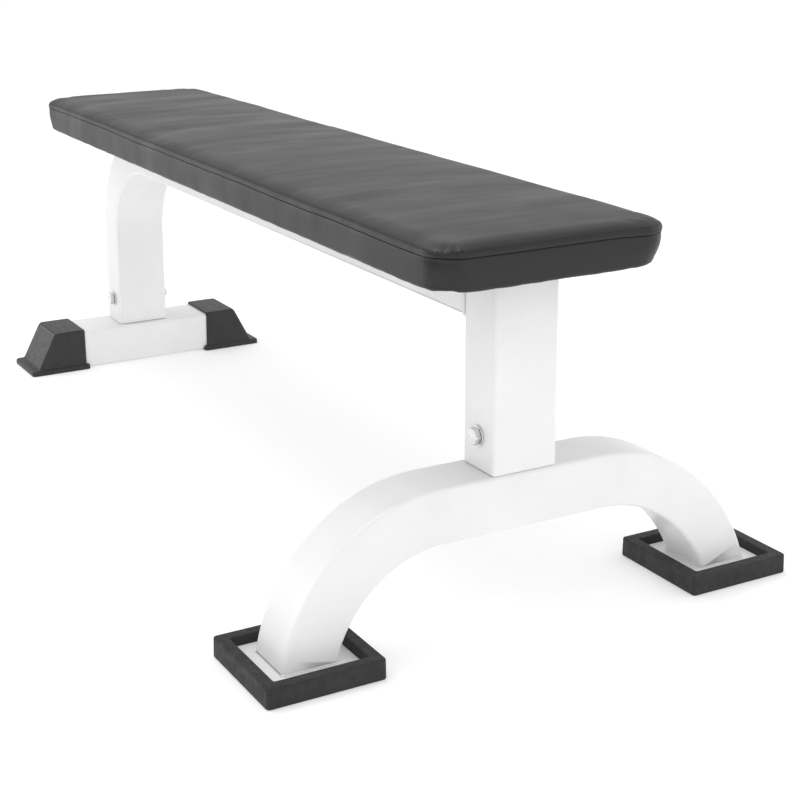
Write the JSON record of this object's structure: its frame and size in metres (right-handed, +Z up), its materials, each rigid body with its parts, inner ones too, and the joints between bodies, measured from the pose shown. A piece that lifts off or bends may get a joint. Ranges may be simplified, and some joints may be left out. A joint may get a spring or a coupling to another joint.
{
  "type": "flat weight bench",
  "caption": "Flat weight bench: sewn padded top on a bent box-section beam, straight front upright on an arched foot with rubber cups, capped rear foot tube.",
  "frame": {"origin": "middle of the bench's bounding box, on the floor", "axes": "+X along the bench towards the arched front foot, +Y across it, +Z up"},
  "size_m": [1.259, 0.655, 0.44],
  "materials": {
    "frame_paint": "gloss white powder coat with a fine orange peel",
    "zinc_hardware": "bright zinc plated steel",
    "foot_rubber": "matt moulded black rubber",
    "cap_plastic": "matt black moulded plastic",
    "pad_vinyl": "soft black grained vinyl",
    "pad_foam": "open-cell foam",
    "pad_plywood": "plain plywood",
    "dust_cloth": "black non-woven cloth"
  },
  "bodies": {
    "root": {"main_beam": "frame_paint", "front_upright": "frame_paint", "upright_top_plate": "frame_paint", "front_spigot": "frame_paint", "rear_spigot": "frame_paint", "front_foot_arch": "frame_paint", "rubber_foot_left": "foot_rubber", "rubber_foot_right": "foot_rubber", "front_foot_plate_left": "frame_paint", "front_foot_plate_right": "frame_paint", "rear_foot_tube": "frame_paint", "rear_end_cap_left": "cap_plastic", "rear_end_cap_right": "cap_plastic", "front_leg_bolt": "zinc_hardware", "front_leg_head_washer": "zinc_hardware", "front_leg_nut_washer": "zinc_hardware", "front_leg_lock_nut": "zinc_hardware", "rear_leg_bolt": "zinc_hardware", "rear_leg_head_washer": "zinc_hardware", "rear_leg_nut_washer": "zinc_hardware", "rear_leg_lock_nut": "zinc_hardware", "pad_cover": "pad_vinyl", "pad_foam": "pad_foam", "pad_board": "pad_plywood", "pad_dust_cover": "dust_cloth", "pad_bracket_front_left": "frame_paint", "pad_bracket_front_right": "frame_paint", "pad_bracket_rear_left": "frame_paint", "pad_bracket_rear_right": "frame_paint", "pad_washer_front_left": "zinc_hardware", "pad_washer_front_right": "zinc_hardware", "pad_washer_rear_left": "zinc_hardware", "pad_washer_rear_right": "zinc_hardware", "pad_bolt_front_left": "zinc_hardware", "pad_bolt_front_right": "zinc_hardware", "pad_bolt_rear_left": "zinc_hardware", "pad_bolt_rear_right": "zinc_hardware", "pad_tee_nut_front_left": "zinc_hardware", "pad_tee_nut_front_right": "zinc_hardware", "pad_tee_nut_rear_left": "zinc_hardware", "pad_tee_nut_rear_right": "zinc_hardware"}
  },
  "joints": []
}
